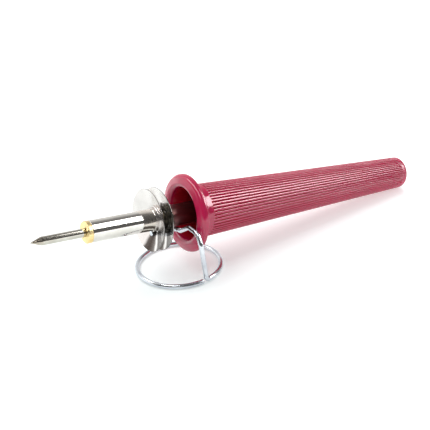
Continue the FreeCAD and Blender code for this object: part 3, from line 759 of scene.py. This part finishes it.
def nickel_barrel():
    """Polished nickel, with painted shade in black between the shields and a painted red reflection of the
    handle's mouth behind them.
    """
    material, tree, shader, place = polished_metal(
        "nickel_barrel", (0.80, 0.77, 0.72), (0.70, 0.67, 0.62), (0.05, 0.11), ROUND, 0.000001)
    station = parts_of(tree, place)[0]
    waver = spread(tree, noise(tree, place, 420, detail=5), -0.0012, 0.0012)
    edge = arithmetic(tree, "ADD", station, waver)
    # Painted red reflection inside the mouth, over painted black shade between the shields.
    painted_in_mouth = spread(tree, edge, 0, 1, *BARREL_PAINTED_REFLECTION)
    painted_shade_and_reflection = mix_colour(tree, painted_in_mouth, painted_shade_mottle(tree, place), REFLECTED_CRIMSON)
    lay_over(tree, shader, spread(tree, edge, 0.0, 0.97, *BARREL_PAINTED_SHADE), painted_shade_and_reflection, SHADE_ROUGHNESS)
    return material


def level_ramp(tree, value, levels):
    """Brightness against a value from 0 to 1, through (position, level) pairs. The levels are at most 1."""
    ramp = node(tree, "ShaderNodeValToRGB", {"Fac": value})
    elements = ramp.color_ramp.elements
    while len(elements) > 1:
        elements.remove(elements[-1])
    for number, (position, level) in enumerate(levels):
        element = elements[0] if number == 0 else elements.new(position)
        element.position = position
        element.color = (level,) * 3 + (1,)
    return ramp.outputs["Color"]


def turn_share(degrees):
    """An angle from -180 to 180 degrees as a share of the whole turn."""
    return (degrees + 180) / 360


# Painted reflection on a shield's lower face, in dark and bright wedges: how bright the steel is against
# the angle from straight down towards the far side.
REFLECTION_WEDGES = [
    (-78, 1), (-66, 0.1), (-43, 0.05), (-37, 1), (-32, 1), (-25, 0.1), (-8, 0.02), (8, 0.1), (17, 1),
]
WEDGE_DARK_BROWN = (0.055, 0.037, 0.028)
WEDGE_HEIGHTS = (-0.002, -0.0045)
# Painted reflection: a grey line round the shield's rim.
RIM_LINE = (SHIELD_RADIUS * MM - 0.00035, SHIELD_RADIUS * MM - 0.0001)
RIM_LINE_GREY = (0.20, 0.19, 0.18)
# Painted shade: darker, mottled steel round the hub, full on the rear shield and light on the front one.
HUB_SHADE = (0.0064, 0.0074)
BEHIND_FRONT_SHIELD = (0.0662, 0.0668)


def shield_steel():
    """Spun steel with turning marks, a painted reflection in wedges below the barrel, painted shade round
    its hub and a painted grey line at its rim.
    """
    material, tree, shader, place = polished_metal(
        "shield_steel", (0.79, 0.75, 0.725), (0.72, 0.68, 0.655), (0.14, 0.22), EVEN, None)
    station, side, height = parts_of(tree, place)
    radius = from_axis(tree, place)
    heading = arithmetic(tree, "ARCTAN2", side, arithmetic(tree, "MULTIPLY", height, -1.0))
    waver = spread(tree, noise(tree, place, 160, detail=5, stretch=(0, 1, 1)), -0.05, 0.05)
    turn = spread(tree, arithmetic(tree, "ADD", heading, waver), 0, 1, -math.pi, math.pi)
    # Painted reflection: dark and bright wedges on the lower face.
    wedge_levels = level_ramp(tree, turn, [(turn_share(angle), level) for angle, level in REFLECTION_WEDGES])
    wedge_colour = mix_colour(tree, wedge_levels, WEDGE_DARK_BROWN, (1, 1, 1))
    painted_wedges = mix_colour(tree, spread(tree, height, 0.0, 1.0, *WEDGE_HEIGHTS), (1, 1, 1), wedge_colour)
    clean = shader.inputs["Base Color"].links[0].from_socket
    steel = mix_colour(tree, 1.0, clean, painted_wedges, "MULTIPLY")
    # Painted reflection: the grey line at the rim.
    steel = mix_colour(tree, spread(tree, radius, 0.0, 0.8, *RIM_LINE), steel, RIM_LINE_GREY)
    tree.links.new(steel, shader.inputs["Base Color"])
    # Painted shade round the hub.
    mottle = spread(tree, noise(tree, place, 500, detail=5), -0.0010, 0.0010)
    shade_near_hub = spread(tree, arithmetic(tree, "ADD", radius, mottle), 0.95, 0.0, *HUB_SHADE)
    behind_front = spread(tree, station, 0.15, 1.0, *BEHIND_FRONT_SHIELD)
    share = arithmetic(tree, "MULTIPLY", shade_near_hub, behind_front)
    lay_over(tree, shader, share, painted_shade_mottle(tree, place), SHADE_ROUGHNESS)
    bump(tree, shader, ring_marks(tree, radius, 2200.0), 0.00000015)
    return material


def brass():
    """Brass turned on a lathe."""
    material, tree, shader, place = polished_metal(
        "brass", (0.95, 0.76, 0.40), (0.84, 0.62, 0.26), (0.30, 0.40), (5, 0.6, 0.6), None)
    bump(tree, shader, ring_marks(tree, from_axis(tree, place), 3800.0), 0.000006)
    return material


TIP_HEAT = (0.0035, 0.0075)
TIP_STRAW = (0.33, 0.25, 0.17)


def plated_steel_tip():
    """Bright plating with a straw heat colour near the point."""
    material, tree, shader, place = polished_metal(
        "plated_steel_tip", (0.66, 0.63, 0.57), (0.54, 0.51, 0.45), (0.06, 0.13), (8, 0.4, 0.4), 0.000001)
    station = parts_of(tree, place)[0]
    mottle = spread(tree, noise(tree, place, 900, detail=4), -0.0014, 0.0014)
    share = spread(tree, arithmetic(tree, "ADD", station, mottle), 0.55, 0.0, *TIP_HEAT)
    clean = shader.inputs["Base Color"].links[0].from_socket
    tree.links.new(mix_colour(tree, share, clean, TIP_STRAW), shader.inputs["Base Color"])
    return material


def matte_material(name, light, dark, roughness, scale, depth, stretch=(1, 1, 1), **sockets):
    """A non-metal with a blend of two colours and a fine surface of its own."""
    material, tree, shader, place = new_material(name, **sockets)
    grain = noise(tree, place, scale, detail=5, stretch=stretch)
    tree.links.new(mix_colour(tree, spread(tree, grain, 0, 1), light, dark), shader.inputs["Base Color"])
    tree.links.new(spread(tree, grain, *roughness), shader.inputs["Roughness"])
    bump(tree, shader, grain, depth)
    return material


BRAID_TURN = 0.8


def braided_sleeving():
    """Glass braid: two sets of strands that cross."""
    material, tree, shader, place = new_material("glass_sleeving", Sheen_Weight=0.3)
    strands = []
    for turn in (BRAID_TURN, -BRAID_TURN):
        turned = node(tree, "ShaderNodeMapping", {"Vector": place, "Rotation": (0, turn, turn)})
        sockets = {"Vector": turned.outputs["Vector"], "Scale": 900.0, "Distortion": 0.6}
        strands.append(node(tree, "ShaderNodeTexWave", sockets).outputs["Fac"])
    weave = arithmetic(tree, "MAXIMUM", *strands)
    tint = mix_colour(tree, weave, (0.45, 0.42, 0.36), (0.86, 0.84, 0.78))
    tree.links.new(tint, shader.inputs["Base Color"])
    tree.links.new(spread(tree, weave, 0.8, 0.55, 0, 1), shader.inputs["Roughness"])
    bump(tree, shader, weave, 0.00006)
    return material


finishes = {
    "crimson_plastic": crimson_plastic(),
    "nickel_barrel": nickel_barrel(),
    "shield_steel": shield_steel(),
    "brass": brass(),
    "plated_steel_tip": plated_steel_tip(),
    "zinc_wire": polished_metal(
        "zinc_wire", (0.76, 0.79, 0.83), (0.58, 0.61, 0.66), (0.14, 0.24), EVEN, 0.0000015, 700)[0],
    "spring_steel": polished_metal(
        "spring_steel", (0.42, 0.42, 0.44), (0.28, 0.27, 0.28), (0.22, 0.42), ROUND, 0.000004)[0],
    "screw_steel": polished_metal(
        "screw_steel", (0.68, 0.70, 0.72), (0.50, 0.52, 0.53), (0.2, 0.38), EVEN, 0.000005)[0],
    "nichrome": polished_metal(
        "nichrome", (0.42, 0.38, 0.33), (0.22, 0.18, 0.15), (0.3, 0.5), ROUND, 0.000005)[0],
    "nickel_lead": polished_metal(
        "nickel_lead", (0.72, 0.70, 0.66), (0.56, 0.53, 0.48), (0.18, 0.34), ROUND, 0.000003)[0],
    "tinned_copper": polished_metal(
        "tinned_copper", (0.72, 0.71, 0.70), (0.58, 0.50, 0.44), (0.2, 0.42), ROUND, 0.000005)[0],
    "black_rubber": matte_material(
        "black_rubber", (0.022, 0.021, 0.021), (0.035, 0.034, 0.033), (0.5, 0.68), 1500, 0.00003),
    "phenolic": matte_material(
        "phenolic", (0.16, 0.075, 0.035), (0.085, 0.038, 0.018), (0.34, 0.5), 500, 0.00001, (1, 3, 1)),
    "mica": matte_material(
        "mica", (0.62, 0.53, 0.40), (0.40, 0.31, 0.20), (0.18, 0.42), 260, 0.00002, (0.4, 2, 2),
        Coat_Weight=0.4),
    "steatite": matte_material(
        "steatite", (0.84, 0.81, 0.74), (0.72, 0.68, 0.60), (0.45, 0.65), 900, 0.00002),
    "glass_sleeving": braided_sleeving(),
}

for piece in [tip, bushing, barrel, *shields, stand, handle, grommet]:
    piece.data.materials.clear()
    piece.data.materials.append(finishes[piece["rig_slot"]])
CAD_FINISHES = {
    "phenolic": ["barrel_hub"],
    "spring_steel": ["front_push_ring", "rear_push_ring"],
    "screw_steel": ["hub_screws"],
    "mica": ["mica_washer", "inner_mica_sleeve", "outer_mica_sleeve"],
    "steatite": ["heater_core", "ceramic_rear_bead"],
    "nichrome": ["heater_winding"],
    "nickel_lead": ["live_lead", "neutral_lead"],
    "glass_sleeving": ["live_lead_sleeving", "neutral_lead_sleeving"],
    "tinned_copper": ["live_crimp", "neutral_crimp"],
}
for slot_name, labels in CAD_FINISHES.items():
    for label in labels:
        for material_slot in frame["nodes"][label].material_slots:
            material_slot.link = "OBJECT"
            material_slot.material = finishes[slot_name]

# ---- floor and light ------------------------------------------------------------------------------------

FLOOR_HALF = 4.0
PAPERS = (0.81, 0.815, 0.815), (0.83, 0.835, 0.835)
# Painted against light: near the pen the floor is less red, to cancel the red light the handle casts on it.
BOUNCE_CANCELLING_PAPER = (0.775, 0.825, 0.825)
NEAR_REACH = (0.24, 0.36)
GLOWS, GLOW_REACH = (0.13, 1.0), (0.0, 0.5)  # the floor fades to white away from the pen
floor_finish, tree, shader, place = new_material("studio_floor", Specular_IOR_Level=0.15)
paper = noise(tree, place, 900, detail=3)
grain = mix_colour(tree, spread(tree, paper, 0, 1), *PAPERS)
far_off = node(tree, "ShaderNodeVectorMath", {0: place}, operation="LENGTH").outputs["Value"]
close_by = spread(tree, far_off, 1.0, 0.0, *NEAR_REACH)
# The floor's painted colour near the pen, which takes out the handle's red bounce light.
tree.links.new(mix_colour(tree, close_by, grain, BOUNCE_CANCELLING_PAPER), shader.inputs["Base Color"])
tree.links.new(spread(tree, paper, 0.6, 0.75), shader.inputs["Roughness"])
tree.links.new(spread(tree, far_off, *GLOWS, *GLOW_REACH), shader.inputs["Emission Strength"])
shader.inputs["Emission Color"].default_value = (1, 1, 1, 1)
mesh = bmesh.new()
bmesh.ops.create_grid(mesh, size=FLOOR_HALF)
bmesh.ops.translate(mesh, vec=(0, 0, cad_low.z), verts=mesh.verts)
floor = object_from(mesh, "floor")
floor.data.materials.append(floor_finish)

# The studio round the table as metal reflects it: brightness against the angle from the front horizon over
# the top to the back, for the cord end's side and the tip's side. The camera sees plain white.
STUDIO = {
    "cord_side": [
        (-12, 0.25), (5, 0.13), (60, 0.12), (100, 0.22), (117, 0.32), (132, 0.6), (151, 0.85), (180, 0.9),
    ],
    "tip_side": [(-12, 0.25), (5, 0.12), (60, 0.1), (110, 0.25), (140, 1.2), (180, 1.35)],
}
SIDE_BLEND = (-0.45, 0.1)
world = bpy.data.worlds.new("studio")
scene.world = world
world.use_nodes = True
tree = world.node_tree
backdrop = tree.nodes["Background"]
sideways, depthways, upwards = parts_of(tree, node(tree, "ShaderNodeTexCoord").outputs["Generated"])
turn = arithmetic(tree, "ARCTAN2", upwards, arithmetic(tree, "MULTIPLY", depthways, -1.0))
share = spread(tree, turn, 0, 1, math.radians(-180), math.radians(180))
brightest = max(level for levels in STUDIO.values() for angle, level in levels)
colours = {
    side: level_ramp(tree, share, [(turn_share(angle), level / brightest) for angle, level in levels])
    for side, levels in STUDIO.items()
}
blend = spread(tree, sideways, 0.0, 1.0, *SIDE_BLEND)
studio = mix_colour(tree, blend, colours["tip_side"], colours["cord_side"])
seen = node(tree, "ShaderNodeLightPath").outputs["Is Camera Ray"]
plain = (1 / brightest,) * 3
tree.links.new(mix_colour(tree, seen, studio, plain), backdrop.inputs["Color"])
backdrop.inputs["Strength"].default_value = brightest


def add_light(
    name, station, angle, width, spread_angle, radiance, in_reflections=True, distance=1.0, spin=0
):
    """A flat light on a circle round the pen, which shows in reflections or else lights surfaces.

    The angle counts from the front horizon over the top. The light's depth covers the spread angle as seen
    from the pen, and spin turns it in its own plane.
    """
    angle, half = math.radians(angle), math.radians(spread_angle / 2)
    depth = 2 * distance * math.tan(half)
    lamp = bpy.data.lights.new(name, "AREA")
    lamp.shape = "RECTANGLE"
    lamp.size, lamp.size_y = width, depth
    lamp.energy = radiance * math.pi * width * depth
    light = bpy.data.objects.new(name, lamp)
    light.location = (station, -distance * math.cos(angle), distance * math.sin(angle))
    light.rotation_mode = "ZYX"
    light.rotation_euler = (math.pi / 2 - angle, 0, math.radians(spin))
    light.visible_glossy = in_reflections
    light.visible_diffuse = not in_reflections
    scene.collection.objects.link(light)


add_light("barrel_strip", 0.60, 63, 0.20, 48, 4)
add_light("key_strip", 1.05, 53, 0.72, 46, 11.5, spin=-25)
add_light("edge_strip", -0.42, 100, 0.16, 70, 9)
add_light("back_softbox", 0.0, 112, 1.6, 55, 2.8, in_reflections=False, distance=1.4)
add_light("fill_softbox", -0.5, 56, 1.4, 50, 1.35, in_reflections=False, distance=1.4)

scene.view_settings.view_transform = "Standard"
